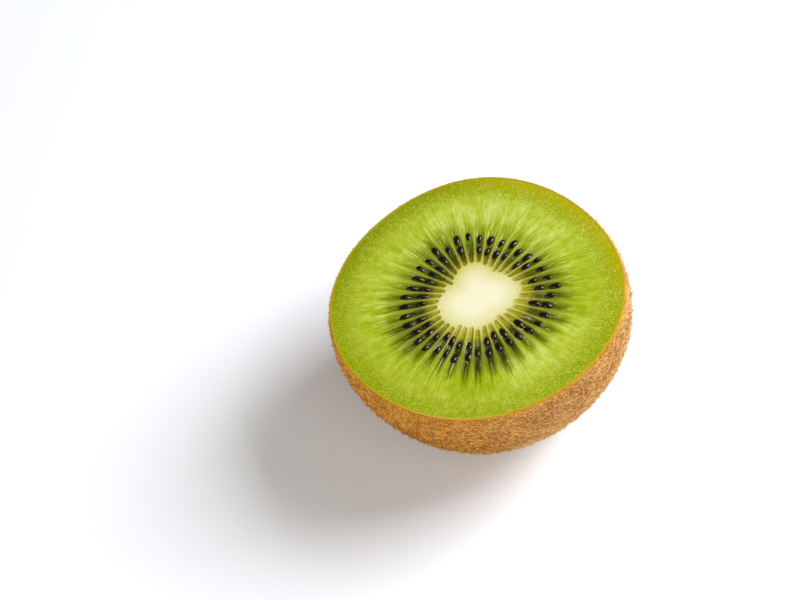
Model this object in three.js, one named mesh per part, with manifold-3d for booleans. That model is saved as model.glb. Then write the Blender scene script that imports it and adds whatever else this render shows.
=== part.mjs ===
// Half of a green kiwi fruit, cut across a little above its widest place, resting on its round end.
// Millimetres, +Z up. The cut face is level and looks up. The origin is under the middle of the fruit,
// on the surface that it rests on.

import * as THREE from 'three';
import { mergeVertices } from 'three/addons/utils/BufferGeometryUtils.js';
import Module from 'manifold-3d';

// The fruit: an egg shape, cut level, with a small flat spot to rest on.
const WIDEST_RADIUS = 26.3;
const CUT_ABOVE_WIDEST = 5;
const DOME_DEPTH = 25.8;
const REST_RADIUS = 5;
const RIM_EASE = 0.25;
const SKIN_SEGMENTS = 72;
const SKIN_STEPS = 18;

// How far the round outline swells, as a share of the radius, and the direction of its first swelling.
const SKIN_WAVES = [
  { order: 2, share: 0.0244, at: -13 },
  { order: 3, share: 0.0079, at: -52.5 },
  { order: 4, share: 0.009, at: -20 },
];

// The pale core: a lobed spindle that runs down from the cut face and stops short of the round end.
const CORE_WIDEST_RADIUS = 6.55;
const CORE_REACH = 21.5;
const CORE_X = 0.1;
const CORE_Y = -0.35;
const CORE_GAP = 0.35;
const CORE_SEGMENTS = 48;
const CORE_STEPS = 9;
const CUTTER_RISE = 1;
const CORE_WAVES = [
  { order: 2, share: 0.08, at: 11.5 },
  { order: 3, share: 0.067, at: -33 },
  { order: 4, share: 0.061, at: -12 },
];

// The seed chambers: shallow hollows that run outwards from the core, closer together on one side.
const CHAMBER_COUNT = 39;
const CHAMBER_START = 6.4;
const CHAMBER_SPREAD = [
  { order: 1, degrees: 3.6, at: 165 },
  { order: 2, degrees: 2.1, at: -43 },
];
const CHAMBER_JITTER = { salt: 15151, range: 2 };
const CHAMBER_FROM_CORE = 1.35;
const CHAMBER_TO_CORE = 8.3;
const CHAMBER_END_JITTER = { salt: 5, range: 1.4 };
const CHAMBER_WIDTH_SHARE = 0.56;
const CHAMBER_DEPTH = 0.35;
const CHAMBER_LIFT = 0.04;
const CHAMBER_SIDES = 6;
const CHAMBER_STEPS = 5;

// The seeds: teardrops, points inwards, half sunk in their chambers, in two rows round the core.
// Each row leaves out some chambers, the inner row more of them.
const SEED_HALF_LENGTH = 1.12;
const SEED_HALF_WIDTH = 0.63;
const SEED_HALF_HEIGHT = 0.48;
const SEED_SINK = 0.12;
const SEED_POINT = 0.32;
const SEED_SIDES = 6;
const SEED_STEPS = 4;
const SEED_SIZE_JITTER = { salt: 7, range: 0.24 };
const OUTER_SEED_CHANCE = { salt: 1484, share: 0.96 };
const OUTER_SEED_FROM_CORE = 6.1;
const OUTER_SEED_JITTER = { salt: 1485, range: 1.5 };
const INNER_SEED_CHANCE = { salt: 2399, share: 0.75 };
const INNER_SEED_FROM_CORE = 2.3;
const INNER_SEED_PITCH = 2.25;
const INNER_SEED_SLACK = { salt: 2400, range: 0.9 };

const FLESH_COLOUR = 0x9fae2b;
const CORE_COLOUR = 0xf3ecc0;

const FLAT_DEPTH = DOME_DEPTH * (1 - Math.sqrt(1 - (REST_RADIUS / WIDEST_RADIUS) ** 2));
const WIDEST_HEIGHT = DOME_DEPTH - FLAT_DEPTH;
const CUT_HEIGHT = WIDEST_HEIGHT + CUT_ABOVE_WIDEST;

const wasm = await Module();
wasm.setup();

// A number from 0 to 1 that looks random but is the same on every run.
function draw(index, salt) {
  const value = Math.sin(index * 12.9898 + salt * 78.233) * 43758.5453;
  return value - Math.floor(value);
}

function jitter(index, { salt, range }) {
  return (draw(index, salt) - 0.5) * range;
}

function swell(angle, waves) {
  return waves.reduce(
    (sum, wave) => sum + wave.share * Math.cos(wave.order * (angle - THREE.MathUtils.degToRad(wave.at))),
    1,
  );
}

// Profile of half an egg shape that is cut level: from the axis, up its side, and back to the axis.
function cutEggProfile(widestRadius, depth, flatRadius, rimEase, steps) {
  const start = Math.asin(flatRadius / widestRadius);
  const top = Math.asin(CUT_ABOVE_WIDEST / depth);
  const cutRadius = widestRadius * Math.cos(top);
  const lowest = WIDEST_HEIGHT - depth * Math.cos(start);
  const points = [new THREE.Vector2(0, lowest)];
  for (let step = flatRadius > 0 ? 0 : 1; step < steps; step += 1) {
    const turn = start + ((Math.PI / 2 + top - start) * step) / steps;
    points.push(new THREE.Vector2(widestRadius * Math.sin(turn), WIDEST_HEIGHT - depth * Math.cos(turn)));
  }
  if (rimEase > 0) {
    points.push(new THREE.Vector2(cutRadius, CUT_HEIGHT - rimEase));
  }
  points.push(new THREE.Vector2(cutRadius - rimEase, CUT_HEIGHT));
  return points;
}

// Turns a profile about the upright axis, then swells the result sideways in waves.
function turned(profile, segments, waves) {
  const geometry = new THREE.LatheGeometry(profile, segments);
  geometry.rotateX(Math.PI / 2);
  const place = geometry.attributes.position;
  for (let i = 0; i < place.count; i += 1) {
    const x = place.getX(i);
    const y = place.getY(i);
    const scale = swell(Math.atan2(y, x), waves);
    place.setXY(i, x * scale, y * scale);
  }
  return geometry;
}

// Makes a closed mesh a solid, without the faces that shrink to nothing on the axis.
function solidOf(geometry) {
  const bare = geometry.clone();
  bare.deleteAttribute('normal');
  bare.deleteAttribute('uv');
  const merged = mergeVertices(bare, 1e-4);
  const corners = merged.index.array;
  const kept = [];
  for (let i = 0; i < corners.length; i += 3) {
    const [a, b, c] = [corners[i], corners[i + 1], corners[i + 2]];
    if (a !== b && b !== c && c !== a) {
      kept.push(a, b, c);
    }
  }
  return new wasm.Manifold(new wasm.Mesh({
    numProp: 3,
    vertProperties: new Float32Array(merged.attributes.position.array),
    triVerts: new Uint32Array(kept),
  }));
}

function geometryOf(solid) {
  const mesh = solid.getMesh();
  const geometry = new THREE.BufferGeometry();
  geometry.setAttribute('position', new THREE.BufferAttribute(mesh.vertProperties, 3));
  geometry.setIndex(new THREE.BufferAttribute(mesh.triVerts, 1));
  geometry.computeVertexNormals();
  return geometry;
}

function chamberAngle(index) {
  const turn = (index * 2 * Math.PI) / CHAMBER_COUNT;
  const spread = CHAMBER_SPREAD.reduce(
    (sum, wave) => sum + wave.degrees * Math.cos(wave.order * (turn - THREE.MathUtils.degToRad(wave.at))),
    CHAMBER_START + jitter(index, CHAMBER_JITTER),
  );
  return turn + THREE.MathUtils.degToRad(spread);
}

// How far the core's edge lies from the fruit's axis, on the cut face.
function coreEdge(angle) {
  const radius = CORE_WIDEST_RADIUS * Math.sqrt(1 - (CUT_ABOVE_WIDEST / CORE_REACH) ** 2);
  return radius * swell(angle, CORE_WAVES) + CORE_X * Math.cos(angle) + CORE_Y * Math.sin(angle);
}

// Lays a shape that was made along X, at the middle, out along a chamber's direction.
function layOut(geometry, angle, radius, height) {
  return geometry
    .translate(radius, 0, height)
    .applyMatrix4(new THREE.Matrix4().makeRotationZ(angle));
}

// One chamber: a long drop shape, narrow at the core, of which the lower half is cut from the face.
function chamber(index) {
  const angle = chamberAngle(index);
  const inner = coreEdge(angle) + CHAMBER_FROM_CORE;
  const outer = coreEdge(angle) + CHAMBER_TO_CORE + jitter(index, CHAMBER_END_JITTER);
  const middle = (inner + outer) / 2;
  const halfLength = (outer - inner) / 2;
  const geometry = new THREE.SphereGeometry(1, CHAMBER_SIDES, CHAMBER_STEPS);
  geometry.rotateZ(Math.PI / 2);
  const place = geometry.attributes.position;
  for (let i = 0; i < place.count; i += 1) {
    const along = place.getX(i) * halfLength;
    const halfWidth = (CHAMBER_WIDTH_SHARE * Math.PI * (middle + along)) / CHAMBER_COUNT;
    place.setXYZ(i, along, place.getY(i) * halfWidth, place.getZ(i) * CHAMBER_DEPTH);
  }
  return solidOf(layOut(geometry, angle, middle, CUT_HEIGHT + CHAMBER_LIFT));
}

// One seed: a ball drawn out to a drop, with its point towards the core.
function seed(index, angle, radius) {
  const size = 1 + jitter(index, SEED_SIZE_JITTER);
  const geometry = new THREE.SphereGeometry(1, SEED_SIDES, SEED_STEPS);
  geometry.rotateZ(Math.PI / 2);
  const place = geometry.attributes.position;
  for (let i = 0; i < place.count; i += 1) {
    const along = place.getX(i);
    const taper = 1 + SEED_POINT * along;
    place.setXYZ(
      i,
      along * SEED_HALF_LENGTH * size,
      place.getY(i) * SEED_HALF_WIDTH * taper * size,
      place.getZ(i) * SEED_HALF_HEIGHT * taper,
    );
  }
  return solidOf(layOut(geometry, angle, radius, CUT_HEIGHT - SEED_SINK));
}

// The seeds of one chamber: one near its outer end, and one behind it on the way to the core.
function chamberSeeds(index) {
  const angle = chamberAngle(index);
  const edge = coreEdge(angle);
  const outerRadius = edge + OUTER_SEED_FROM_CORE + jitter(index, OUTER_SEED_JITTER);
  const slack = draw(index, INNER_SEED_SLACK.salt) * INNER_SEED_SLACK.range;
  const innerRadius = Math.max(outerRadius - INNER_SEED_PITCH - slack, edge + INNER_SEED_FROM_CORE);
  const seeds = [];
  if (draw(index, OUTER_SEED_CHANCE.salt) < OUTER_SEED_CHANCE.share) {
    seeds.push(seed(index, angle, outerRadius));
  }
  if (draw(index, INNER_SEED_CHANCE.salt) < INNER_SEED_CHANCE.share) {
    seeds.push(seed(index + CHAMBER_COUNT, angle, innerRadius));
  }
  return seeds;
}

function fruitFlesh() {
  const profile = cutEggProfile(WIDEST_RADIUS, DOME_DEPTH, REST_RADIUS, RIM_EASE, SKIN_STEPS);
  profile.push(new THREE.Vector2(0, CUT_HEIGHT));
  let flesh = solidOf(turned(profile, SKIN_SEGMENTS, SKIN_WAVES));

  for (let index = 0; index < CHAMBER_COUNT; index += 1) {
    flesh = flesh.subtract(chamber(index));
  }
  for (let index = 0; index < CHAMBER_COUNT; index += 1) {
    for (const grain of chamberSeeds(index)) {
      flesh = flesh.add(grain);
    }
  }

  const hollow = cutEggProfile(CORE_WIDEST_RADIUS + CORE_GAP, CORE_REACH + CORE_GAP, 0, 0, CORE_STEPS);
  const rim = hollow[hollow.length - 1];
  hollow.push(new THREE.Vector2(rim.x, CUT_HEIGHT + CUTTER_RISE));
  hollow.push(new THREE.Vector2(0, CUT_HEIGHT + CUTTER_RISE));
  const coreHollow = turned(hollow, CORE_SEGMENTS, CORE_WAVES).translate(CORE_X, CORE_Y, 0);
  flesh = flesh.subtract(solidOf(coreHollow));

  const mesh = new THREE.Mesh(
    geometryOf(flesh),
    new THREE.MeshStandardMaterial({ color: FLESH_COLOUR, roughness: 0.35, metalness: 0 }),
  );
  mesh.name = 'flesh';
  return mesh;
}

function fruitCore() {
  const profile = cutEggProfile(CORE_WIDEST_RADIUS, CORE_REACH, 0, 0, CORE_STEPS);
  profile.push(new THREE.Vector2(0, CUT_HEIGHT));
  const mesh = new THREE.Mesh(
    geometryOf(solidOf(turned(profile, CORE_SEGMENTS, CORE_WAVES))),
    new THREE.MeshStandardMaterial({ color: CORE_COLOUR, roughness: 0.45, metalness: 0 }),
  );
  mesh.name = 'core';
  mesh.position.set(CORE_X, CORE_Y, 0);
  return mesh;
}

const kiwiHalf = new THREE.Group();
kiwiHalf.add(fruitFlesh(), fruitCore());

// The swellings aren't even all round, so the fruit is moved to centre its box over the origin.
const middle = new THREE.Box3().setFromObject(kiwiHalf, true).getCenter(new THREE.Vector3());
kiwiHalf.position.set(-middle.x, -middle.y, 0);

export default kiwiHalf;
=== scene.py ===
"""Half of a fresh green kiwi fruit, cut straight across and resting on its round end.

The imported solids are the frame. The visible pieces are made here around them: a thin brown skin and its
fuzz, the green flesh with its seed chambers, the seeds, and the pale core. Metres, +Z up; the cut is level.
"""

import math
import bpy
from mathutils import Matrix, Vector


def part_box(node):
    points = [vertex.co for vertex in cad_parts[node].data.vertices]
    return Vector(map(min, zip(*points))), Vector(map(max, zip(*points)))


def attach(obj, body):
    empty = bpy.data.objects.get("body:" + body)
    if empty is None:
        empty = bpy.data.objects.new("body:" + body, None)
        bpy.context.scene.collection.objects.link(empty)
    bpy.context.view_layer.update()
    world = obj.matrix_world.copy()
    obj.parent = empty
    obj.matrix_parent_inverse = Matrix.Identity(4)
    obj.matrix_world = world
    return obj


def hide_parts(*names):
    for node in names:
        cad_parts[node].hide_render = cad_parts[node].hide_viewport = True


bl_info = {
    "name": "Kiwi fruit half",
    "version": (1, 0, 0),
    "blender": (4, 5, 0),
    "location": "3D View > Sidebar > Kiwi",
    "description": "Makes the visible pieces of a cut kiwi fruit around its packed solids",
    "category": "Add Mesh",
}

import bmesh
import bpy
import numpy as np
from bpy.props import FloatProperty, FloatVectorProperty, IntProperty, PointerProperty
from mathutils import Matrix, Vector, noise

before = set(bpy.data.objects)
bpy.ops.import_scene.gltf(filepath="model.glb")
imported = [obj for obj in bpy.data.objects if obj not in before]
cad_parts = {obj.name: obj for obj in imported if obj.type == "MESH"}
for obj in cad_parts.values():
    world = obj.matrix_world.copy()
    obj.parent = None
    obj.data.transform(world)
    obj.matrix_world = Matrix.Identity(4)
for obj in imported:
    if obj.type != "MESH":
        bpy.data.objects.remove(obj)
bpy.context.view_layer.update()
cut_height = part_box("core")[1].z

MM = 0.001

# Edges that turn more than this are shaded sharp.
SHARP_EDGE = math.radians(55)

# Swellings of an outline: how many round it, their share of the radius, and the direction of one of them.
SKIN_WAVES = ((2, 0.0244, -13), (3, 0.0079, -52.5), (4, 0.009, -20))
CORE_WAVES = ((2, 0.08, 11.5), (3, 0.067, -33), (4, 0.061, -12))

# On the cut face, distances are shares of the way from the core's edge to the skin: the middle is at -0.34.
CORE_SHARE = 0.34

# Seed chambers stand closer together on one side: how many swings round, degrees, and where.
CHAMBER_SPREAD = ((1, 3.6, 165), (2, 2.1, -43))
CHAMBER_START = 6.4

# Each draw has a number of its own, and most have a range: millimetres, degrees or a share.
CHAMBER_JITTER = (15151, 2.0)
CHAMBER_START_JITTER = (61, 1.1)
CHAMBER_END_JITTER = (5, 1.4)
CHAMBER_LUCK = 41
TOOTH_LUCK = 31
SEED_SIZE_JITTER = (7, 0.24)
SEED_WIDTH_JITTER = (55, 0.3)
SEED_LEAN_JITTER = (51, 22)
SEED_YAW_JITTER = (52, 24)
SEED_TONE = 53
SEED_SINK = (54, 0.25)
OUTER_SEED_CHANCE = (1484, 0.96)
OUTER_SEED_JITTER = (1485, 1.5)
INNER_SEED_CHANCE = (2399, 0.75)
INNER_SEED_SLACK = (2400, 0.9)
FUZZ_DRAW = 100

# Sides of the cut face that differ: direction in degrees, cosine where it begins, and its share.
LATE_SIDES = ((105, 0.9, 0.8), (197, 0.9, 0.6), (255, 0.88, 1.0), (315, 0.9, 0.5))
DIM_SIDES = ((150, 0.2, 1.0), (345, 0.85, 1.0))
BLOOM_SIDES = ((60, 0.25, 1.0), (287, 0.9, 1.0))
DUSK_SIDES = ((253, 0.93, 1.0), (350, 0.8, 0.7))
DULL_SIDES = ((105, 0.93, 0.5), (195, 0.93, 1.3), (262, 0.86, 1.4), (325, 0.78, 0.8))

# The skin's edge carries a painted highlight this way, and the hairs carry painted warm bounce light that
# way.
EDGE_HIGHLIGHT_WAY = (-0.47, -0.88, 0.0)
WARM_BOUNCE_WAY = (-0.9, -0.4, 0.0)

# Hairs: steps that spread the roots evenly, how deep the roots are, how far the cut hairs stand over the
# cut, leans in degrees, and the side where the hairs next to the cut lie flat.
EVEN_STEPS = (0.7548776662, 0.5698402910)
ROOT_DEPTH = 0.06 * MM
HAIRS_OVER_CUT = 0.06 * MM
FLAT_HAIRS_SIDE = 62
LYING_LEAN = (4, 22)
STANDING_LEAN = (40, 70)


def srgb(red, green, blue):
    """The linear colour of three numbers from 0 to 255, as a colour picker shows them."""
    shares = [value / 255 for value in (red, green, blue)]
    return [((s + 0.055) / 1.055) ** 2.4 if s > 0.04045 else s / 12.92 for s in shares]


def length(name, millimetres, description):
    """A size that a user may change, held in metres."""
    default = millimetres * MM
    return FloatProperty(
        name=name, description=description, default=default, unit="LENGTH", subtype="DISTANCE", precision=5
    )


def whole_number(name, default, least, description):
    """A count that a user may change."""
    return IntProperty(name=name, description=description, default=default, min=least)


def fraction(name, default, description):
    """A share of a whole that a user may change."""
    return FloatProperty(name=name, description=description, default=default, subtype="FACTOR", min=0, max=1)


def colour(name, numbers, description):
    """A colour that a user may change."""
    return FloatVectorProperty(
        name=name, description=description, default=srgb(*numbers), subtype="COLOR", size=3, min=0, max=1
    )


class KiwiFruitForm(bpy.types.PropertyGroup):
    """The outer form of the fruit and its skin."""

    widest_radius: length("Widest radius", 26.3, "Mean radius at the widest place")
    cut_above_widest: length("Cut above widest", 5, "Height of the cut above the widest place")
    dome_depth: length("Dome depth", 25.8, "From the widest place down to the round end")
    skin_thickness: length("Skin thickness", 0.16, "Thickness of the brown skin")
    skin_lumps: length("Skin lumps", 0.1, "How far the skin rises and falls")
    skin_steps: whole_number("Skin steps", 480, 12, "Faces round the skin")
    skin_rings: whole_number("Skin rings", 84, 4, "Faces from the rim to the round end")


class KiwiCoreForm(bpy.types.PropertyGroup):
    """The pale core."""

    widest_radius: length("Widest radius", 6.55, "Mean radius at the fruit's widest place")
    reach: length("Reach", 21.5, "From the fruit's widest place down to the core's tip")
    shift_x: length("Shift X", 0.1, "The core's middle from the fruit's axis, along X")
    shift_y: length("Shift Y", -0.35, "The core's middle from the fruit's axis, along Y")
    tooth: length("Tooth", 0.3, "How far the core's edge reaches out between the seed chambers")


class KiwiChamberForm(bpy.types.PropertyGroup):
    """The seed chambers in the cut face."""

    count: whole_number("Count", 39, 3, "Seed chambers round the core")
    steps: whole_number("Steps", 16, 4, "Faces across each chamber and wall")
    depth: length("Depth", 0.28, "How far a chamber is sunk in the cut face")
    start: length("Start", 0.2, "From the core's edge to a chamber's inner end")
    width_share: fraction("Width share", 0.76, "A chamber's share of the way round")
    end: length("End", 8.3, "From the core's edge to where a chamber has narrowed")
    face_rings: whole_number("Face rings", 112, 8, "Faces from the core to the skin")


class KiwiSeedForm(bpy.types.PropertyGroup):
    """The seeds."""

    half_length: length("Half length", 1.04, "Half a seed's length")
    half_width: length("Half width", 0.56, "Half a seed's width")
    half_height: length("Half height", 0.46, "Half a seed's height")
    sink: length("Sink", 0.12, "How far a seed's middle lies under the cut face")
    point: fraction("Point", 0.2, "How much narrower a seed's inner end is")
    outer_from_core: length("Outer row", 6.1, "From the core's edge to the outer row")
    inner_from_core: length("Inner row", 2.3, "Least distance from the core's edge to an inner seed")
    pitch: length("Pitch", 2.25, "Least distance between two seeds in a chamber")


class KiwiFuzzForm(bpy.types.PropertyGroup):
    """The short hairs on the skin."""

    bent: whole_number("Bent", 7000, 1, "Bent hairs on each side")
    straight: whole_number("Straight", 24000, 1, "Straight hairs on each side")
    shortest: length("Shortest", 0.6, "Length of the shortest hairs")
    longest: length("Longest", 1.5, "Length of the longest hairs")
    thickness: length("Thickness", 0.105, "Thickness of a hair at its root")
    reach: length("Reach", 0.85, "How far the hairs that stand up reach from the skin")
    standing_share: fraction("Standing", 0.11, "Share of the bent hairs that stand up")


class KiwiColours(bpy.types.PropertyGroup):
    """The colours of every finish."""

    core_middle: colour("Core middle", (219, 213, 178), "Cream in the middle of the core")
    # Also tints the painted highlight on the skin's edge and the painted glints in the chambers.
    core_edge: colour("Core edge", (202, 197, 140), "Cream at the core's edge")
    wall_inner: colour("Wall, inner", (176, 171, 68), "Walls between the chambers, at the core")
    wall_middle: colour("Wall, middle", (112, 116, 34), "Walls between the seeds")
    wall_outer: colour("Wall, outer", (126, 142, 30), "Walls between the chambers, at their outer ends")
    chamber_inner: colour("Chamber, inner", (96, 92, 8), "Jelly in the chambers at the core")
    chamber_gold: colour("Chamber, gold", (160, 152, 34), "Lighter grains in that jelly")
    chamber_line: colour("Chamber line", (80, 78, 12), "Dark line round a chamber's inner end")
    chamber_deep: colour("Chamber, deep", (48, 50, 4), "Jelly among the seeds")
    haze: colour("Haze", (88, 104, 0), "Dark green behind the seeds")
    flesh: colour("Flesh", (159, 172, 46), "Green flesh outside the chambers")
    flesh_deep: colour("Flesh, deep", (136, 153, 8), "Deeper green between the streaks")
    flesh_pale: colour("Flesh, pale", (180, 190, 90), "Pale streaks and specks in the flesh")
    flesh_rim: colour("Flesh, rim", (140, 151, 2), "Flesh just inside the skin")
    flesh_mottle: colour("Flesh, mottle", (112, 127, 0), "Darker grains just inside the skin")
    flesh_olive: colour("Flesh, olive", (158, 148, 2), "Riper flesh on one side and next to the skin")
    flesh_shade: colour("Flesh, shaded", (112, 118, 0), "Darker flesh along another side")
    skin: colour("Skin", (180, 106, 20), "Bare skin")
    # Also the painted shade at the hair roots.
    skin_dark: colour("Skin, dark", (134, 74, 10), "Pits and scars in the skin")
    rim: colour("Skin edge", (174, 142, 18), "The skin's cut edge")
    fuzz_pale: colour("Fuzz, pale", (250, 210, 138), "The palest hairs")
    fuzz_dark: colour("Fuzz, dark", (158, 92, 14), "The darkest hairs")
    # On the hairs this is painted warm bounce light on one side.
    fuzz_warm: colour("Fuzz, warm", (250, 200, 96), "The palest hairs on one side, and stains in the skin")
    fuzz_gold: colour("Fuzz, gold", (226, 170, 48), "Hairs just under the cut")
    seed: colour("Seed", (22, 11, 3), "Seed coat")
    seed_brown: colour("Seed, brown", (50, 24, 10), "Worn places on the seed coat")
    floor: colour("Floor", (239, 240, 243), "The floor")
    floor_cloud: colour("Floor, clouded", (227, 228, 231), "Faint clouds in the floor")


class Wire:
    """A socket in a material, or a plain number. Sums written with wires add the nodes that work them out."""

    def __init__(self, finish, socket):
        self.finish = finish
        self.socket = socket

    def maths(self, operation, *others):
        if getattr(self.socket, "type", "VALUE") == "VECTOR":
            return self.finish.add("VectorMath", {"operation": operation}, [self, *others])
        return self.finish.add("Math", {"operation": operation}, [self, *others])

    def __add__(self, other):
        return self.maths("ADD", other)

    def __radd__(self, other):
        return self.maths("ADD", other)

    def __sub__(self, other):
        return self.maths("SUBTRACT", other)

    def __rsub__(self, other):
        return self.finish.add("Math", {"operation": "SUBTRACT"}, [other, self])

    def __mul__(self, other):
        return self.maths("MULTIPLY", other)

    def __rmul__(self, other):
        return self.maths("MULTIPLY", other)

    def __truediv__(self, other):
        return self.maths("DIVIDE", other)

    def scaled(self, factor):
        """A vector wire times a number."""
        return self.finish.add("VectorMath", {"operation": "SCALE"}, {"Vector": self, "Scale": factor})

    def rise(self, low, high):
        """0 below low, 1 above high, and a smooth step between."""
        settings = {"interpolation_type": "SMOOTHSTEP"}
        return self.finish.add("MapRange", settings, {"Value": self, "From Min": low, "From Max": high})

    def fall(self, low, high):
        """1 below low, 0 above high, and a smooth step between."""
        settings = {"interpolation_type": "SMOOTHSTEP"}
        inputs = {"Value": self, "From Min": low, "From Max": high, "To Min": 1.0, "To Max": 0.0}
        return self.finish.add("MapRange", settings, inputs)

    def band(self, low, high, end, gone):
        """0 below low, 1 from high to end, and 0 again above gone."""
        return self.rise(low, high) * self.fall(end, gone)

    def mixed(self, first, second):
        """The colour first where the wire is 0 and second where it is 1."""
        settings = {"data_type": "RGBA", "clamp_factor": True}
        return self.finish.add("Mix", settings, {0: self, 6: first, 7: second}, output=2)


class Finish:
    """One material: its Principled shader, and the nodes that feed it."""

    def __init__(self, name, **constants):
        self.material = bpy.data.materials.new(name)
        self.material.use_nodes = True
        self.tree = self.material.node_tree
        self.shader = self.tree.nodes["Principled BSDF"]
        for socket, value in constants.items():
            self.shader.inputs[socket.replace("_", " ")].default_value = value

    def add(self, kind, settings, inputs, output=0):
        """Adds a shader node: its settings first, then the values or wires of its inputs."""
        node = self.tree.nodes.new("ShaderNode" + kind)
        for key, value in settings.items():
            if key == "stops":
                self.set_stops(node.color_ramp, value)
            else:
                setattr(node, key, value)
        pairs = inputs.items() if isinstance(inputs, dict) else enumerate(inputs)
        for key, value in pairs:
            self.feed(node.inputs[key], value)
        return Wire(self, node.outputs[output])

    def feed(self, socket, value):
        """Joins a wire to a socket, or sets the socket to a value."""
        if isinstance(value, Wire):
            self.tree.links.new(value.socket, socket)
        elif socket.type == "RGBA" and len(value) == 3:
            socket.default_value = (*value, 1.0)
        else:
            socket.default_value = value

    @staticmethod
    def set_stops(ramp, stops):
        while len(ramp.elements) < len(stops):
            ramp.elements.new(1.0)
        for element, (place, tint) in zip(ramp.elements, stops):
            element.position = place
            element.color = (*tint, 1.0)

    def ramp(self, wire, stops):
        """A colour that changes along the wire's number, from 0 to 1."""
        return self.add("ValToRGB", {"stops": stops}, {"Fac": wire})

    def attribute(self, name):
        return self.add("Attribute", {"attribute_name": name}, {}, output="Fac")

    def place(self):
        """The point on the surface, in millimetres."""
        return self.add("TexCoord", {}, {}, output="Object").scaled(1 / MM)

    def along(self, way):
        """How far the point lies in a direction, in millimetres."""
        return self.add("VectorMath", {"operation": "DOT_PRODUCT"}, [self.place(), way], output="Value")

    def grain(self, vector, scale, detail=2.0, roughness=0.5):
        """Soft noise from 0 to 1, whose lumps are about 1 / scale wide."""
        inputs = {"Vector": vector, "Scale": scale, "Detail": detail, "Roughness": roughness}
        return self.add("TexNoise", {}, inputs, output="Fac")

    def wear(self, **wires):
        """Joins wires to the shader's sockets."""
        for socket, wire in wires.items():
            self.feed(self.shader.inputs[socket.replace("_", " ")], wire)

    def bump(self, height, distance, strength=1.0):
        """Raises the surface by height, which is 1 for the whole distance."""
        normal = self.add("Bump", {}, {"Strength": strength, "Distance": distance, "Height": height})
        self.wear(Normal=normal)


def stops_along(*stops):
    """Stops of a ramp on the cut face: 0 at the core's edge, 1 at the skin, and less inside the core."""
    return [((place + CORE_SHARE) / (1 + CORE_SHARE), tint) for place, tint in stops]


def draw(index, salt):
    """A number from 0 to 1 that looks random but is the same on every run."""
    value = np.sin(index * 12.9898 + salt * 78.233) * 43758.5453
    return value - np.floor(value)


def draw_up_to(index, salt_and_range):
    """A number that looks random, from 0 to the range."""
    salt, spread = salt_and_range
    return draw(index, salt) * spread


def jitter(index, salt_and_range):
    """A number that looks random, up to half the range either side of 0."""
    salt, spread = salt_and_range
    return (draw(index, salt) - 0.5) * spread


def swell(angle, waves):
    """How many times the mean radius an outline has, at an angle."""
    return 1 + sum(share * np.cos(order * (angle - math.radians(at))) for order, share, at in waves)


def smooth_rise(value, low, high):
    """0 below low, 1 above high, and a smooth step between."""
    share = np.clip((value - low) / (high - low), 0, 1)
    return share * share * (3 - 2 * share)


def lumps(points, scale, seed):
    """Soft noise from -1 to 1 at each point, whose lumps are about scale metres wide."""
    offset = Vector((seed * 17.3, seed * 5.1, seed * 9.7))
    return np.array([noise.noise(Vector(point) / scale + offset) for point in points])


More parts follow.
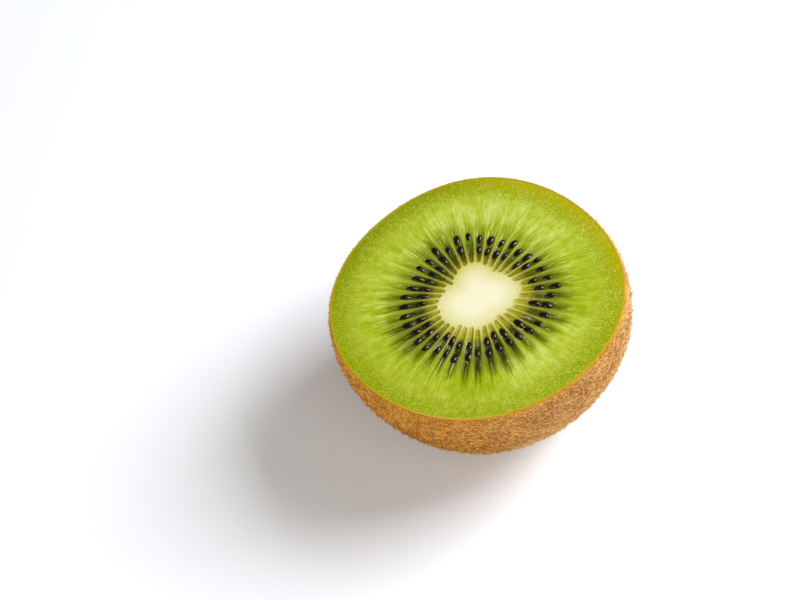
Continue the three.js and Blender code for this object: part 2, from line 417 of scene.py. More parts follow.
class Fruit:
    """The fruit's forms as formulas. Angles are about its own axis, from +X towards +Y, in radians."""

    def __init__(self, scene):
        self.form = scene.kiwi_fruit
        self.core = scene.kiwi_core
        self.chambers = scene.kiwi_chambers
        self.seeds = scene.kiwi_seeds
        self.widest_height = cut_height - self.form.cut_above_widest
        self.dome_top = math.pi / 2 + math.asin(self.form.cut_above_widest / self.form.dome_depth)
        self.axis = self.box_middle()
        self.rays = self.chamber_angles()

    def box_middle(self):
        """The fruit's axis: its uneven outline is centred over the origin by its box."""
        angles = np.radians(np.arange(0, 360, 5))
        radius = self.form.widest_radius * swell(angles, SKIN_WAVES)
        x, y = radius * np.cos(angles), radius * np.sin(angles)
        return np.array([-(x.max() + x.min()) / 2, -(y.max() + y.min()) / 2])

    def chamber_angles(self):
        """The directions of the chambers, and of the first one again after a whole turn."""
        count = self.chambers.count
        index = np.arange(count)
        turn = index * math.tau / count
        spread = CHAMBER_START + jitter(index, CHAMBER_JITTER)
        for order, degrees, at in CHAMBER_SPREAD:
            spread = spread + degrees * np.cos(order * (turn - math.radians(at)))
        angles = turn + np.radians(spread)
        return np.append(angles, angles[0] + math.tau)

    def ray_angle(self, chamber):
        """The direction of a ray, numbered by chambers: 2.5 is the wall between chambers 2 and 3."""
        return np.interp(chamber, np.arange(len(self.rays)), self.rays)

    def core_edge(self, angle, chamber=None):
        """The core's edge on the cut face, as a distance from the axis, with teeth if a chamber is given."""
        radius = self.core.widest_radius * math.sqrt(1 - (self.form.cut_above_widest / self.core.reach) ** 2)
        edge = radius * swell(angle, CORE_WAVES)
        edge = edge + self.core.shift_x * np.cos(angle) + self.core.shift_y * np.sin(angle)
        if chamber is not None:
            size = 0.7 + 0.6 * draw(np.rint(chamber), TOOTH_LUCK)
            edge = edge - self.core.tooth * np.cos(math.tau * chamber) * size
        return edge

    def dome(self, turn, angle, inset):
        """A point on the dome: turn is 0 at the round end and dome_top at the rim."""
        radius = (self.form.widest_radius - inset) * np.sin(turn) * swell(angle, SKIN_WAVES)
        height = self.widest_height - (self.form.dome_depth - inset) * np.cos(turn)
        return radius, np.maximum(height, inset)

    def skin_bumps(self, turn, flat):
        """How far the skin's gentle lumps stand out: not at all at the round end, and less at the cut."""
        rough = lumps(flat, 2.6 * MM, 1) * 0.6 + lumps(flat, 0.9 * MM, 2) * 0.4
        clear = smooth_rise(turn, 0.22, 0.35) * (1 - 0.7 * smooth_rise(turn / self.dome_top, 0.93, 1.0))
        return self.form.skin_lumps * rough * clear

    def rim_edge(self, angle):
        """The distance of the flesh's rim from the fruit's axis, on the cut face."""
        return self.dome(self.dome_top, angle, self.form.skin_thickness)[0]

    def points(self, radius, angle, height):
        """Points in the row frame from their distance to the fruit's axis, direction and height."""
        x = self.axis[0] + radius * np.cos(angle)
        y = self.axis[1] + radius * np.sin(angle)
        return np.stack([x, y, height * np.ones_like(x)], axis=1)

    def chamber_inside(self, radius, angle, chamber):
        """How far a point lies inside a chamber's outline, in metres: less than 0 in the walls between."""
        form = self.chambers
        index = np.rint(chamber) % form.count
        pitch = math.tau * radius / form.count
        offset = np.abs(chamber - np.rint(chamber)) * pitch
        half = form.width_share * pitch / 2
        beyond = radius - self.core_edge(angle)
        start = form.start + jitter(index, CHAMBER_START_JITTER) * MM
        end = form.end + jitter(index, CHAMBER_END_JITTER) * MM
        taper = 1 - 0.35 * smooth_rise(beyond, end - 4 * MM, end)
        round_end = half - np.hypot(start + half - beyond, offset)
        return np.where(beyond < start + half, round_end, half * taper - offset)

    def face_relief(self, radius, angle, chamber):
        """How far the cut face stands above the cut: sunk chambers, raised walls and fine fibres."""
        edge = self.core_edge(angle)
        share = (radius - edge) / (self.rim_edge(angle) - edge)
        inside = self.chamber_inside(radius, angle, chamber)
        flat = self.points(radius, angle, 0.0)
        rays = np.stack([np.cos(angle) * 46, np.sin(angle) * 46, radius / (2.4 * MM)], axis=1)
        fibre = lumps(rays, 1.0, 3) * smooth_rise(share, 0.3, 0.45) * (1 - smooth_rise(share, 0.86, 0.98))
        cells = lumps(flat, 0.42 * MM, 5) * smooth_rise(share, 0.35, 0.7)
        cells = cells * (1 - smooth_rise(share, 0.96, 1.0))
        wave = lumps(flat, 7 * MM, 8) * (1 - smooth_rise(share, 0.8, 1.0))
        jelly = lumps(flat, 0.9 * MM, 6)
        basin = smooth_rise(inside, -0.03 * MM, 0.3 * MM) * (0.75 + 0.35 * jelly)
        basin = basin * (1 - smooth_rise(share, 0.3, 0.48))
        wall = smooth_rise(-inside, 0.0, 0.12 * MM) * smooth_rise(share, 0.0, 0.06)
        wall = wall * (1 - smooth_rise(share, 0.35, 0.5))
        relief = 0.05 * MM * wall - self.chambers.depth * basin
        return relief + 0.05 * MM * fibre + 0.03 * MM * cells + 0.07 * MM * wave

    def seed_places(self):
        """Each seed's number, direction and distance from the fruit's axis."""
        for index in range(self.chambers.count):
            angle = self.rays[index]
            edge = self.core_edge(angle)
            outer = edge + self.seeds.outer_from_core + jitter(index, OUTER_SEED_JITTER) * MM
            inner = outer - self.seeds.pitch - draw_up_to(index, INNER_SEED_SLACK) * MM
            inner = max(inner, edge + self.seeds.inner_from_core)
            if draw(index, OUTER_SEED_CHANCE[0]) < OUTER_SEED_CHANCE[1]:
                yield index, angle, outer
            if draw(index, INNER_SEED_CHANCE[0]) < INNER_SEED_CHANCE[1]:
                yield index + self.chambers.count, angle, inner


def closed_drum(rings, steps):
    """A drum closed at both ends: a grid rolled up and joined. A point's height is its ring's number."""
    bm = bmesh.new()
    last = rings - 1
    bmesh.ops.create_grid(bm, x_segments=steps, y_segments=last, size=1.0)
    for vert in bm.verts:
        ring = round((vert.co.y + 1) / 2 * last)
        turn = vert.co.x * math.pi
        radius = float(0 < ring < last)
        vert.co = (radius * math.cos(turn), radius * math.sin(turn), ring)
    bmesh.ops.remove_doubles(bm, verts=bm.verts, dist=0.001)
    return bm


def finish_piece(bm, name, finish, nodes, attributes=None):
    """Turns a bmesh into a smooth piece with a finish, which stands for nodes of the frame."""
    mesh = bpy.data.meshes.new(name)
    bm.to_mesh(mesh)
    bm.free()
    return finish_mesh(mesh, name, finish, nodes, attributes)


def finish_mesh(mesh, name, finish, nodes, attributes=None):
    """Makes a mesh a smooth piece with a finish, which stands for nodes of the frame."""
    for key, values in (attributes or {}).items():
        layer = mesh.attributes.new(key, "FLOAT", "POINT")
        layer.data.foreach_set("value", np.asarray(values, np.float32))
    mesh.shade_smooth()
    mesh.set_sharp_from_angle(angle=SHARP_EDGE)
    mesh.materials.append(finish)
    piece = bpy.data.objects.new(name, mesh)
    bpy.context.scene.collection.objects.link(piece)
    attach(piece, "root")
    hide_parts(*nodes)
    return piece


def drum_numbers(bm, steps):
    """The ring and the step round of every vertex of a drum."""
    places = np.array([vert.co for vert in bm.verts])
    ring = np.rint(places[:, 2]).astype(int)
    step = np.rint(np.arctan2(places[:, 1], places[:, 0]) * steps / math.tau) % steps
    return ring, step


def place_drum(bm, points):
    """Moves a drum's vertices to their places and turns its faces outwards."""
    for vert, point in zip(bm.verts, points):
        vert.co = point
    if bm.calc_volume(signed=True) < 0:
        bmesh.ops.reverse_faces(bm, faces=bm.faces)


def cut_finish(name, colours):
    """Moist fruit: cream core, pale walls, dark chambers with feathered ends, and streaked green flesh."""
    finish = Finish(name, IOR=1.36, Specular_IOR_Level=0.08, Coat_Roughness=0.16, Coat_IOR=1.36)
    along = finish.attribute("along")
    across = finish.attribute("across")
    inside = finish.attribute("inside")
    luck = finish.attribute("luck")
    place = finish.place()
    level = place * (1.0, 1.0, 0.0)
    rays = finish.add("VectorMath", {"operation": "NORMALIZE"}, [level])
    reach = finish.add("VectorMath", {"operation": "LENGTH"}, [level], output="Value")

    def toward(degrees):
        """1 in this direction from the middle of the fruit, -1 in the opposite one."""
        way = (math.cos(math.radians(degrees)), math.sin(math.radians(degrees)), 0.0)
        return finish.add("VectorMath", {"operation": "DOT_PRODUCT"}, [rays, way], output="Value")

    def sides(places):
        """Some sides of the cut face, each as strong as its share."""
        return sum(toward(degrees).rise(low, 1.0) * share for degrees, low, share in places)

    def drawn_out(pull, start, scale, detail):
        """Noise drawn out along the rays: the smaller the pull, the longer its streaks."""
        return finish.grain(rays + finish.add("CombineXYZ", {}, {"Z": reach * pull + start}), scale, detail)

    # Fine fibres, short cells and broad streaks along the rays, then plain noise and its swings about 0.
    fine = drawn_out(0.006, 0.0, 62.0, 1.0)
    cells = drawn_out(0.022, 5.0, 44.0, 2.0)
    broad = drawn_out(0.008, 3.0, 16.0, 2.0)
    blotch = finish.grain(place, 0.75, 3.0)
    grit = finish.grain(place, 2.7, 1.0)
    sand = finish.grain(place, 4.6, 2.0)
    drops = finish.grain(place, 1.7, 2.0)
    fine_swing = fine - 0.5
    grit_swing = grit - 0.5
    gloom = toward(250).rise(-0.5, 0.7)
    late = sides(LATE_SIDES)
    dim = sides(DIM_SIDES)

    # Flesh outside the chambers: deeper behind each chamber, paler in line with each wall.
    spread = across + fine_swing * 0.5
    drawn = along.fall(0.6, 0.92)
    streaks = (broad - 0.5) * (0.2 + drawn * 0.6)
    streaks = streaks + (fine_swing * 0.9 + (cells - 0.5) * 0.35) * (0.15 + drawn * 0.65)
    thread = (across + fine_swing * 0.2).rise(0.36, 0.48) * along.rise(0.08, 0.2)
    thread = thread * (1 - dim * 0.5) * (1 - gloom * 0.5)
    streaks = streaks + (spread.rise(0.22, 0.44) * 0.14 + thread * 0.16) * along.fall(0.5, 0.74)
    coarse = 0.65 + toward(30).rise(-1.0, 1.0) * 0.55
    grains = grit_swing * 0.25 + (sand - 0.5) * coarse * (0.25 + along.rise(0.6, 0.95) * 1.4)
    patches = (sides(BLOOM_SIDES) * 0.17 - sides(DUSK_SIDES) * 0.2) * along.band(0.4, 0.54, 0.66, 0.84)
    tone = 0.45 + streaks + grains + (blotch - 0.5) * 0.55 + patches - gloom * along.fall(0.5, 0.8) * 0.14
    flesh = finish.ramp(tone, [(0.18, colours.flesh_deep), (0.5, colours.flesh), (0.82, colours.flesh_pale)])
    flesh = (along.fall(0.4, 0.58) * (0.4 + gloom * 0.2 + late * 0.4)).mixed(flesh, colours.flesh_deep)
    behind = spread.fall(0.12, 0.44) * along.fall(0.42, 0.62) * (0.25 + gloom * 0.4 + late * 0.4)
    flesh = behind.mixed(flesh, colours.haze)

    # Thin pale threads, partly painted glints, which also cross the ends of the chambers.
    threads_and_glints = (fine + grit_swing * 0.35).rise(0.6, 0.68) * along.band(0.12, 0.22, 0.44, 0.6)
    flesh = (threads_and_glints * 0.6).mixed(flesh, colours.flesh_pale)

    # Towards the skin: darker grains, a riper side and a shaded one, pale specks, and an olive hem.
    mottled = (grit * 0.3 + sand * 0.7).rise(0.43, 0.56).mixed(colours.flesh_mottle, colours.flesh_rim)
    flesh = (along.rise(0.68, 0.98) * (0.85 - toward(255).rise(0.7, 1.0) * 0.22)).mixed(flesh, mottled)
    ripe = toward(32).rise(0.1, 1.0) * along.rise(0.78, 0.97)
    flesh = (ripe * 0.8).mixed(flesh, colours.flesh_olive)
    shade = toward(115).rise(0.45, 1.0) * along.rise(0.8, 1.0)
    flesh = (shade * 0.6).mixed(flesh, colours.flesh_shade)
    speck = sand.rise(0.54, 0.66) * along.rise(0.55, 0.9) * blotch.rise(0.36, 0.6) * coarse
    flesh = (speck * 0.55).mixed(flesh, colours.flesh_pale)
    flesh = (along.rise(0.982, 0.992) * 0.6).mixed(flesh, colours.flesh_olive)

    # The walls between the chambers pass from cream to green.
    begun = along - toward(280) * 0.03
    walls = finish.ramp(
        (begun + CORE_SHARE + grit_swing * 0.1 + fine_swing * 0.06) / (1 + CORE_SHARE),
        stops_along(
            (-0.18, colours.core_middle),
            (-0.03, colours.core_edge),
            (0.07, colours.wall_inner),
            (0.2, colours.wall_middle),
            (0.36, colours.wall_outer),
        ),
    )
    walls = (dim * along.rise(0.08, 0.2) * 0.3).mixed(walls, colours.haze)
    walls = (thread * 0.35).mixed(walls, colours.flesh_pale)
    walls = (along + fine_swing * 0.2).rise(0.34, 0.54).mixed(walls, flesh)

    # Jelly in the chambers: golden at the core, dark among the seeds, green and feathered at the far end.
    feather = along + fine_swing * 0.34 * along.rise(0.2, 0.4) + (luck - 0.5) * 0.08 - toward(250) * 0.08
    feather = feather - late * 0.085 + toward(30).rise(0.7, 1.0) * 0.03
    bright = (toward(20).rise(-0.3, 0.9) * 0.45).mixed(colours.chamber_deep, colours.chamber_inner)
    chamber = (feather + grit_swing * 0.1).rise(0.25, 0.4).mixed(bright, colours.haze)
    # Towards the bottom side the golden grains are paler and reach further out: partly painted glints.
    gold = grit * 0.5 + fine * 0.5 + toward(285).rise(0.2, 1.0) * 0.14
    jelly = gold.rise(0.38, 0.62).mixed(colours.chamber_inner, colours.chamber_gold)
    chamber = (along - toward(275) * 0.045 + grit_swing * 0.1).rise(0.06, 0.17).mixed(jelly, chamber)
    chamber = begun.rise(-0.03, 0.05).mixed(colours.wall_inner, chamber)
    line = inside.band(-0.1, 0.06, 0.08, 0.34) * along.fall(0.1, 0.26)
    chamber = (line * 0.3).mixed(chamber, colours.chamber_line)
    fibre = fine.rise(0.54, 0.7) * along.band(0.0, 0.08, 0.3, 0.5)
    # Towards the bottom side the pale fibres are stronger: partly painted glints.
    chamber = (fibre * (0.5 + toward(285).rise(0.5, 1.0) * 0.4)).mixed(chamber, colours.wall_middle)
    chamber = feather.rise(0.33, 0.53).mixed(chamber, flesh)
    # Painted glints among the seeds, strongest towards the bottom side.
    chamber = (threads_and_glints * (0.15 + toward(262).rise(0.0, 0.9) * 0.45)).mixed(chamber, colours.core_edge)

    # Chambers and walls together, darker round the outer seeds on some sides.
    edge = inside + fine_swing * (0.4 + along.rise(0.25, 0.5) * 0.8) + grit_swing * 0.35
    base = edge.rise(-0.22, 0.26).mixed(walls, chamber)
    dull = sides(DULL_SIDES) * along.band(0.24, 0.34, 0.4, 0.62)
    base = (dull * 0.3).mixed(base, colours.chamber_deep)

    # The jelly is wet and glints, and the flesh is soft and dull.
    wet = edge.rise(0.1, 0.3) * along.fall(0.36, 0.5)
    glint = wet * (0.25 + drops.rise(0.45, 0.62) * (0.6 + toward(265).rise(0.0, 1.0) * 0.4)) + speck * 0.3
    finish.wear(Base_Color=base, Roughness=0.5 - wet * 0.2, Coat_Weight=glint)
    relief = sand * 0.5 * along.rise(0.1, 0.6) + cells * 0.5 * along.rise(0.0, 0.2) + drops * wet
    finish.bump(relief, 0.14 * MM, 0.8)
    return finish.material


def cut_material(colours):
    """The finish of the whole cut face, which the flesh and the core share."""
    return bpy.data.materials.get("cut_fruit") or cut_finish("cut_fruit", colours)


def skin_finish(name, colours):
    """Thin dry skin: brown with darker pits, and a yellow line at the cut, with a painted highlight on one
    side.
    """
    finish = Finish(name, Specular_IOR_Level=0.2)
    place = finish.place()
    below = finish.attribute("below")
    pits = finish.grain(place, 2.6, 3.0, 0.65)
    stain = finish.grain(place, 0.22, 3.0)
    base = pits.rise(0.42, 0.62).mixed(colours.skin_dark, colours.skin)
    base = (stain.rise(0.45, 0.7) * 0.3).mixed(base, colours.fuzz_warm)
    line = (below + (pits - 0.5) * 0.4).fall(0.05, 0.3)
    base = (below.fall(0.0, 1.2) * 0.4 + line * 0.6).mixed(base, colours.rim)
    # Painted highlight: the cut edge turns paler on one side.
    base = (line * finish.along(EDGE_HIGHLIGHT_WAY).rise(22.0, 26.0) * 0.16).mixed(base, colours.core_edge)
    finish.wear(Base_Color=base, Roughness=0.62 + pits * 0.25)
    finish.bump(pits, 0.2 * MM, 0.8)
    return finish.material


def fuzz_finish(name, colours):
    """Short dry hairs, each with its own tone, with painted shade at the root, painted warm bounce light on
    one side, and golden under the cut.
    """
    finish = Finish(name, Specular_IOR_Level=0.12)
    tone = finish.attribute("tone")
    tip = finish.attribute("tip")
    left = finish.along(WARM_BOUNCE_WAY)
    height = finish.along((0.0, 0.0, 1.0))
    # Painted warm bounce light: the palest hairs turn warmer towards one side.
    base = tone.mixed(colours.fuzz_dark, left.rise(4.0, 26.0).mixed(colours.fuzz_pale, colours.fuzz_warm))
    # Painted shade: the hairs darken towards their roots.
    base = (tip.fall(0.0, 0.7) * 0.4).mixed(base, colours.skin_dark)
    base = (height.rise(cut_height / MM - 1.3, cut_height / MM - 0.1) * 0.65).mixed(base, colours.fuzz_gold)
    finish.wear(Base_Color=base, Roughness=0.5 + tone * 0.2)
    return finish.material


def seed_finish(name, colours):
    """Wet, nearly black seed coat with a faint net of pits."""
    tint = (1.0, 0.86, 0.72, 1.0)
    finish = Finish(name, IOR=1.38, Specular_Tint=tint, Coat_Weight=0.25, Coat_Roughness=0.08)
    place = finish.place()
    tone = finish.attribute("tone")
    pits = finish.add("TexVoronoi", {"feature": "F1"}, {"Vector": place, "Scale": 5.5}, output="Distance")
    worn = finish.grain(place, 1.6, 3.0).rise(0.5, 0.75) * (0.25 + tone * 0.6)
    base = worn.mixed(colours.seed, colours.seed_brown)
    finish.wear(Base_Color=base, Roughness=0.14 + pits * 0.12 + tone * 0.1)
    finish.bump(pits, 0.05 * MM, 0.5)
    return finish.material


def floor_finish(name, colours):
    """Plain matt floor with a very faint unevenness."""
    finish = Finish(name, Roughness=0.8, IOR=1.4)
    cloud = finish.grain(finish.place(), 0.004, 2.0)
    finish.wear(Base_Color=(cloud * 0.1).mixed(colours.floor, colours.floor_cloud))
    return finish.material


class KIWI_OT_skin(bpy.types.Operator):
    """Make the thin brown skin, with its yellow cut edge"""

    bl_idname = "kiwi.skin"
    bl_label = "Skin"

    def execute(self, context):
        fruit = Fruit(context.scene)
        form = fruit.form
        steps, down = form.skin_steps, form.skin_rings
        rings = 2 * down + 3
        bm = closed_drum(rings, steps)
        ring, step = drum_numbers(bm, steps)
        angle = step * math.tau / steps

        # Up the outside from the round end, over the cut edge, and down the inside.
        outside = ring <= down
        climb = np.where(outside, ring, rings - 1 - ring) / down
        turn = fruit.dome_top * np.minimum(climb, 1.0)
        inset = np.where(outside, 0.0, form.skin_thickness)
        radius, height = fruit.dome(turn, angle, inset)
        edge = ring == down + 1
        radius = np.where(edge, radius - form.skin_thickness / 2, radius)
        flat = fruit.points(radius, angle, height)
        radius = radius + fruit.skin_bumps(turn, flat) * outside
        lift = np.where(edge, 0.06 * MM, 0.0)
        place_drum(bm, fruit.points(radius, angle, height + lift))
        below = (cut_height - height - lift) / MM
        material = skin_finish("brown_skin", context.scene.kiwi_colours)
        finish_piece(bm, "skin", material, ["flesh"], {"below": below})
        return {"FINISHED"}


def face_attributes(fruit, radius, angle, chamber):
    """What the cut face's finish reads: the way outwards and across a chamber, and each chamber's luck."""
    edge = fruit.core_edge(angle)
    index = np.rint(chamber) % fruit.chambers.count
    return {
        "along": (radius - edge) / (fruit.rim_edge(angle) - edge),
        "across": np.abs(chamber - np.rint(chamber)),
        "inside": fruit.chamber_inside(radius, angle, chamber) / MM,
        "luck": draw(index, CHAMBER_LUCK),
    }


class KIWI_OT_flesh(bpy.types.Operator):
    """Make the green flesh, hollow for the core, with its seed chambers sunk in the cut face"""

    bl_idname = "kiwi.flesh"
    bl_label = "Flesh"

    wall_rings: whole_number("Wall rings", 10, 2, "Faces down the core's hollow")
    side_rings: whole_number("Side rings", 22, 2, "Faces down the outer side")

    def execute(self, context):
        fruit = Fruit(context.scene)
        chambers = fruit.chambers
        steps = chambers.count * chambers.steps
        face, wall, side = chambers.face_rings, self.wall_rings, self.side_rings
        bm = closed_drum(wall + face + side + 1, steps)
        ring, step = drum_numbers(bm, steps)
        chamber = step / chambers.steps
        angle = fruit.ray_angle(chamber)
        edge, rim = fruit.core_edge(angle, chamber), fruit.rim_edge(angle)

        # Up the core's hollow from its tip, out across the cut face, and down inside the skin.
        climb = np.clip(ring / wall, 0, 1)
        share = np.clip((ring - wall) / face, 0, 1) ** 1.25
        fallen = np.clip((ring - wall - face) / side, 0, 1)
        hollow_radius, hollow_height = core_side(fruit, climb, edge)
        side_radius, side_height = fruit.dome(fruit.dome_top * (1 - fallen), angle, fruit.form.skin_thickness)
        face_radius = edge + (rim - edge) * share
        relief = fruit.face_relief(face_radius, angle, chamber)
        radius = np.where(ring < wall, hollow_radius, np.where(fallen > 0, side_radius, face_radius))
        height = np.where(ring < wall, hollow_height, np.where(fallen > 0, side_height, cut_height + relief))
        place_drum(bm, fruit.points(radius, angle, height))
        attributes = face_attributes(fruit, face_radius, angle, chamber)
        material = cut_material(context.scene.kiwi_colours)
        finish_piece(bm, "green_flesh", material, ["flesh"], attributes)
        return {"FINISHED"}


def core_side(fruit, climb, edge):
    """The core's side from its tip, where climb is 0, to its edge on the cut face, where climb is 1."""
    top = math.pi / 2 + math.asin(fruit.form.cut_above_widest / fruit.core.reach)
    turn = top * climb
    radius = edge * np.sin(turn) / math.sin(top)
    height = fruit.widest_height - fruit.core.reach * np.cos(turn)
    return radius, height


class KIWI_OT_core(bpy.types.Operator):
    """Make the pale core, which runs down through the flesh"""

    bl_idname = "kiwi.core"
    bl_label = "Core"

    side_rings: whole_number("Side rings", 10, 2, "Faces up the core's side")
    top_rings: whole_number("Top rings", 26, 2, "Faces from the edge to the middle")

    def execute(self, context):
        fruit = Fruit(context.scene)
        chambers = fruit.chambers
        steps = chambers.count * chambers.steps
        bm = closed_drum(self.side_rings + self.top_rings + 1, steps)
        ring, step = drum_numbers(bm, steps)
        chamber = step / chambers.steps
        angle = fruit.ray_angle(chamber)
        edge = fruit.core_edge(angle, chamber)
        climb = np.clip(ring / self.side_rings, 0, 1)
        share = np.clip((ring - self.side_rings) / self.top_rings, 0, 1)
        side_radius, side_height = core_side(fruit, climb, edge)
        top_radius = edge * (1 - share)
        relief = fruit.face_relief(top_radius, angle, chamber)
        relief = relief * (1 - smooth_rise(share, 0.0, 0.3)) + relief.mean() * smooth_rise(share, 0.0, 0.3)
        on_top = ring >= self.side_rings
        radius = np.where(on_top, top_radius, side_radius)
        height = np.where(on_top, cut_height + relief, side_height)
        place_drum(bm, fruit.points(radius, angle, height))
        attributes = face_attributes(fruit, top_radius, angle, chamber)
        material = cut_material(context.scene.kiwi_colours)
        finish_piece(bm, "pale_core", material, ["core"], attributes)
        return {"FINISHED"}


class KIWI_OT_seeds(bpy.types.Operator):
    """Make the two rows of seeds, half sunk in their chambers"""

    bl_idname = "kiwi.seeds"
    bl_label = "Seeds"

    sides: whole_number("Sides", 14, 6, "Faces round a seed")
    rings: whole_number("Rings", 10, 4, "Faces along a seed")

    def execute(self, context):
        fruit = Fruit(context.scene)
        form = fruit.seeds
        bm = bmesh.new()
        tones = []
        for index, angle, radius in fruit.seed_places():
            made = bmesh.ops.create_uvsphere(bm, u_segments=self.sides, v_segments=self.rings, radius=1.0)
            size = 1 + jitter(index, SEED_SIZE_JITTER)
            plump = size * (1 + jitter(index, SEED_WIDTH_JITTER))
            for vert in made["verts"]:
                along, side, up = vert.co.z, vert.co.y, vert.co.x
                taper = (1 + form.point * along) * (1 - 0.22 * max(0.0, -along) ** 2)
                vert.co = (
                    along * form.half_length * size,
                    side * form.half_width * taper * plump,
                    up * form.half_height * taper,
                )
            lean = Matrix.Rotation(math.radians(jitter(index, SEED_LEAN_JITTER)), 4, "Y")
            yaw = Matrix.Rotation(math.radians(jitter(index, SEED_YAW_JITTER)), 4, "Z")
            salt, deeper = SEED_SINK
            sink = form.sink + deeper * MM * draw(index, salt) ** 2
            middle = fruit.points(np.array([radius]), np.array([angle]), cut_height - sink)[0]
            place = Matrix.Translation(Vector(middle)) @ Matrix.Rotation(angle, 4, "Z") @ yaw @ lean
            bmesh.ops.transform(bm, matrix=place, verts=made["verts"])
            tones.extend([draw(index, SEED_TONE)] * len(made["verts"]))
        bmesh.ops.recalc_face_normals(bm, faces=bm.faces)
        material = seed_finish("seed_coat", context.scene.kiwi_colours)
        finish_piece(bm, "seeds", material, ["flesh"], {"tone": tones})
        return {"FINISHED"}


class KIWI_OT_fuzz(bpy.types.Operator):
    """Cover the skin with short stiff hairs, one piece for each side of the fruit"""

    bl_idname = "kiwi.fuzz"
    bl_label = "Fuzz"

    def execute(self, context):
        fruit = Fruit(context.scene)
        material = fuzz_finish("brown_hairs", context.scene.kiwi_colours)
        for number, side in enumerate(("right", "back", "left", "front")):
            mesh, tones, tips = self.hairs(fruit, context.scene.kiwi_fuzz, number)
            finish_mesh(mesh, f"fuzz_{side}", material, ["flesh"], {"tone": tones, "tip": tips})
        return {"FINISHED"}

    def hairs(self, fruit, form, quarter):
        """Hairs on a quarter of the skin: spikes with three sides, the first ones bent in the middle."""
        chance = np.random.default_rng(FUZZ_DRAW + quarter)
        count = form.bent + form.straight
        index = np.arange(count)
        bent = index < form.bent

        # Steps by these two shares of a whole spread the roots evenly over the skin, without rows.
        angle = (quarter - 0.5 + index * EVEN_STEPS[0] % 1) * math.pi / 2
        lowest, highest = 0.2, fruit.dome_top - 0.011
        turn = np.arccos(np.cos(lowest) + (np.cos(highest) - np.cos(lowest)) * (index * EVEN_STEPS[1] % 1))
        radius, height = fruit.dome(turn, angle, ROOT_DEPTH)
        radius = radius + fruit.skin_bumps(turn, fruit.points(radius, angle, height))
        root = fruit.points(radius, angle, height)
        out = np.stack([np.sin(turn) * np.cos(angle), np.sin(turn) * np.sin(angle), -np.cos(turn)], axis=1)
        around = np.stack([-np.sin(angle), np.cos(angle), np.zeros(count)], axis=1)
        down = np.cross(around, out)
        heading = lumps(root, 3.5 * MM, 0) * 0.8 + chance.normal(0.0, 0.6, count) - math.pi / 2 + 0.5
        bend = heading + chance.normal(0.0, 0.5, count)
        standing = bent & (chance.random(count) < form.standing_share)
        lean = np.where(standing, chance.uniform(*STANDING_LEAN, count), chance.uniform(*LYING_LEAN, count))
        flat_side = smooth_rise(np.cos(angle - math.radians(FLAT_HAIRS_SIDE)), 0.35, 0.7)
        near_cut = smooth_rise(turn, fruit.dome_top - 0.06, fruit.dome_top - 0.02)
        lean = np.radians(lean) * (1 - 0.8 * flat_side * near_cut)
        size = form.shortest + (form.longest - form.shortest) * chance.random(count) ** 1.4
        size = np.where(standing, form.reach * chance.uniform(0.7, 1.0, count) / np.sin(lean + 0.1), size)

        def way(turned, rise):
            flat = around * np.cos(turned)[:, None] + down * np.sin(turned)[:, None]
            return flat * np.cos(rise)[:, None] + out * np.sin(rise)[:, None]

        # Most hairs point to the cut, and the knife has shortened those that reach it.
        first = way(heading, lean)
        room = cut_height - root[:, 2] + HAIRS_OVER_CUT
        size = np.where(first[:, 2] * size > room, room / first[:, 2], size)
        side = np.cross(first, out)
        side /= np.linalg.norm(side, axis=1)[:, None]
        rise = np.cross(side, first)
        thick = form.thickness * (chance.uniform(0.8, 1.2, count) + 0.3 * standing)[:, None] / 2

        def row(centre, share):
            places = ((1, -0.5), (-1, -0.5), (0, 1))
            return [centre + (side * x + rise * y) * thick * share for x, y in places]

        middle = root + first * size[:, None] * 0.65
        bent_tip = middle + way(bend, lean * 0.6) * size[:, None] * 0.35
        straight_tip = root + first * size[:, None] * 0.85
        long_ones = np.stack([*row(root, 1.0), *row(middle, 0.8), bent_tip], axis=1)[bent]
        short_ones = np.stack([*row(root, 1.1), straight_tip], axis=1)[~bent]
        corners = np.concatenate([long_ones.reshape(-1, 3), short_ones.reshape(-1, 3)])
        corners[:, 2] = np.maximum(corners[:, 2], 0.02 * MM)

        sides = np.array([[0, 1, 4], [0, 4, 3], [1, 2, 5], [1, 5, 4], [2, 0, 3], [2, 3, 5]])
        ends = np.array([[2, 1, 0], [3, 4, 6], [4, 5, 6], [5, 3, 6]])
        spike = np.array([[2, 1, 0], [0, 1, 3], [1, 2, 3], [2, 0, 3]])
        long_faces = np.arange(form.bent)[:, None, None] * 7 + np.concatenate([sides, ends])
        short_faces = np.arange(form.straight)[:, None, None] * 4 + form.bent * 7 + spike
        mesh = bpy.data.meshes.new("hairs")
        faces = np.concatenate([long_faces.reshape(-1, 3), short_faces.reshape(-1, 3)])
        mesh.from_pydata(corners, [], faces)
        depth = cut_height - root[:, 2]
        # One side of the hairs: more varied and paler, as painted bounce light, and darker low down, as
        # painted shade.
        left = smooth_rise(-1.5 * root[:, 0] - 0.6 * root[:, 1], 10 * MM, 34 * MM)
        tone = 0.76 + chance.normal(0.0, 0.38, count) * (1 + 0.8 * left) + 0.24 * left - 0.25 * standing
        tone = tone + 0.3 * (1 - smooth_rise(depth, 0.4 * MM, 3 * MM))
        # Painted shade: the hairs on that side darken low down.
        tone = tone - 0.75 * left * smooth_rise(depth, 2 * MM, 13 * MM)
        tone = np.clip(tone, 0, 1)
        tones = np.concatenate([np.repeat(tone[bent], 7), np.repeat(tone[~bent], 4)])
        long_tips = np.tile([0.0, 0.0, 0.0, 0.5, 0.5, 0.5, 1.0], form.bent)
        short_tips = np.tile([0.0, 0.0, 0.0, 1.0], form.straight)
        return mesh, tones, np.concatenate([long_tips, short_tips])


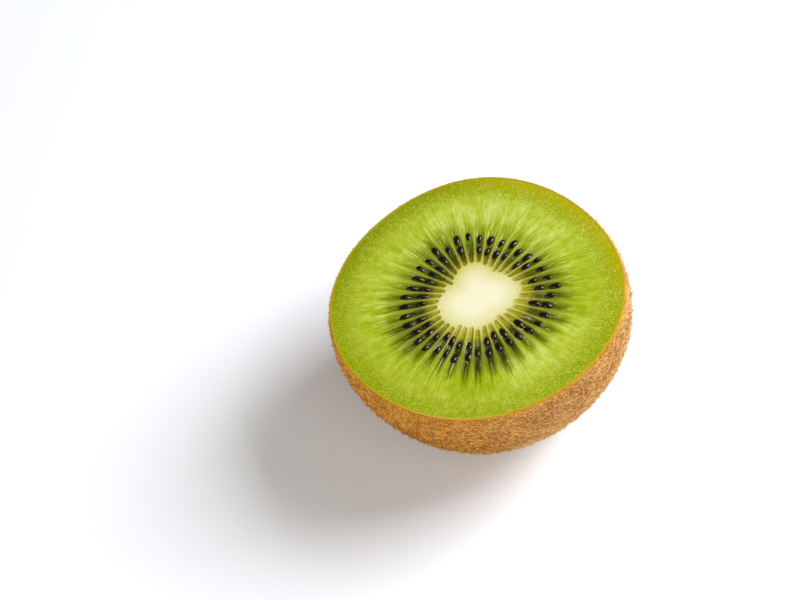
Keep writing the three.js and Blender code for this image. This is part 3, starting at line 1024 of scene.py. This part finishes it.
# The picture is taken from in front, above and a little turned, as the cut face shows there.
PICTURE_WIDTH, PICTURE_HEIGHT = 800, 600
FACE_MIDDLE_PIXEL = (475.9, 294.9)
FACE_MIDDLE_DISTANCE = 356.9 * MM
VIEW_OFF_FACE = math.radians(33.634)
VIEW_ROLL = math.radians(19.328)
LENS = 89.87
SENSOR = 36.0

# Soft lights: name, way there (picture's right, its up, back to the camera), metres away, width, watts, tint.
LIGHTS = (
    ("key", (0.55, 0.6, 0.5), 0.7, 0.4, 7.4, (0.97, 1, 1.08)),
    ("fill", (-0.7, -0.5, 0.5), 0.9, 0.7, 4.4, (1, 0.93, 0.76)),
    ("front", (0.1, -0.25, 1), 0.9, 1.0, 4.4, (1, 1, 1)),
)
SKY_TINT = (1, 0.98, 0.9, 1)
SKY_STRENGTH = 0.1


def view_turn():
    """The camera's turn: its columns are the picture's right, its up and the way back to the camera."""
    face = Vector((
        -math.sin(VIEW_ROLL) * math.sin(VIEW_OFF_FACE),
        math.cos(VIEW_ROLL) * math.sin(VIEW_OFF_FACE),
        math.cos(VIEW_OFF_FACE),
    ))
    right = Vector((math.cos(VIEW_ROLL), math.sin(VIEW_ROLL), 0))
    return Matrix((right, face.cross(right), face))


class KIWI_OT_stage(bpy.types.Operator):
    """Make the pale floor, the soft studio light and the camera"""

    bl_idname = "kiwi.stage"
    bl_label = "Stage"

    floor_size: length("Floor size", 3000, "Width of the floor")

    def execute(self, context):
        fruit = Fruit(context.scene)
        self.make_floor(context)
        turn = view_turn()
        target = Vector((0, 0, cut_height / 2))
        for name, way, *rest in LIGHTS:
            light = self.make_light(context, name, turn @ Vector(way), target, *rest)
            light.visible_glossy = name != "front"
        world = bpy.data.worlds.new("studio")
        world.use_nodes = True
        world.node_tree.nodes["Background"].inputs["Color"].default_value = SKY_TINT
        world.node_tree.nodes["Background"].inputs["Strength"].default_value = SKY_STRENGTH
        context.scene.world = world
        context.scene.view_settings.view_transform = "Standard"
        self.make_camera(context, fruit, turn)
        return {"FINISHED"}

    def make_floor(self, context):
        bm = bmesh.new()
        bmesh.ops.create_grid(bm, x_segments=2, y_segments=2, size=self.floor_size / 2)
        mesh = bpy.data.meshes.new("floor")
        bm.to_mesh(mesh)
        bm.free()
        mesh.materials.append(floor_finish("pale_floor", context.scene.kiwi_colours))
        floor = bpy.data.objects.new("floor", mesh)
        context.scene.collection.objects.link(floor)

    def make_light(self, context, name, way, target, distance, size, power, tint):
        """A square soft light, seen from the fruit in the direction way."""
        data = bpy.data.lights.new(name, "AREA")
        data.shape = "SQUARE"
        data.size = size
        data.energy = power
        data.color = tint
        light = bpy.data.objects.new(name, data)
        way = way.normalized()
        light.location = target + way * distance
        light.rotation_euler = way.to_track_quat("Z", "Y").to_euler()
        context.scene.collection.objects.link(light)
        return light

    def make_camera(self, context, fruit, turn):
        """Puts the middle of the cut face at its pixel, at its distance from the camera."""
        data = bpy.data.cameras.new("camera")
        data.lens = LENS
        data.sensor_width = SENSOR
        data.clip_start = 0.01
        data.clip_end = 10.0
        across = (FACE_MIDDLE_PIXEL[0] / PICTURE_WIDTH - 0.5) * SENSOR / LENS
        up = (0.5 - FACE_MIDDLE_PIXEL[1] / PICTURE_HEIGHT) * SENSOR / LENS * PICTURE_HEIGHT / PICTURE_WIDTH
        seen = Vector((across, up, -1.0)) * FACE_MIDDLE_DISTANCE
        middle = Vector((*fruit.axis, cut_height))
        camera = bpy.data.objects.new("camera", data)
        camera.matrix_world = Matrix.Translation(middle - turn @ seen) @ turn.to_4x4()
        context.scene.collection.objects.link(camera)
        context.scene.camera = camera


class KIWI_PT_pieces(bpy.types.Panel):
    """The pieces of the kiwi fruit half"""

    bl_idname = "KIWI_PT_pieces"
    bl_label = "Kiwi fruit half"
    bl_space_type = "VIEW_3D"
    bl_region_type = "UI"
    bl_category = "Kiwi"

    def draw(self, context):
        for operator in OPERATORS:
            self.layout.operator(operator.bl_idname)


GROUPS = {
    "kiwi_fruit": KiwiFruitForm,
    "kiwi_core": KiwiCoreForm,
    "kiwi_chambers": KiwiChamberForm,
    "kiwi_seeds": KiwiSeedForm,
    "kiwi_fuzz": KiwiFuzzForm,
    "kiwi_colours": KiwiColours,
}
OPERATORS = (KIWI_OT_stage, KIWI_OT_skin, KIWI_OT_flesh, KIWI_OT_core, KIWI_OT_seeds, KIWI_OT_fuzz)


def register():
    for group in GROUPS.values():
        bpy.utils.register_class(group)
    for name, group in GROUPS.items():
        setattr(bpy.types.Scene, name, PointerProperty(type=group))
    for operator in OPERATORS:
        bpy.utils.register_class(operator)
    bpy.utils.register_class(KIWI_PT_pieces)


def unregister():
    bpy.utils.unregister_class(KIWI_PT_pieces)
    for operator in reversed(OPERATORS):
        bpy.utils.unregister_class(operator)
    for name in GROUPS:
        delattr(bpy.types.Scene, name)
    for group in reversed(list(GROUPS.values())):
        bpy.utils.unregister_class(group)


def main():
    register()
    bpy.ops.kiwi.stage()
    bpy.ops.kiwi.skin()
    bpy.ops.kiwi.flesh()
    bpy.ops.kiwi.core()
    bpy.ops.kiwi.seeds()
    bpy.ops.kiwi.fuzz()


if __name__ == "__main__":
    main()
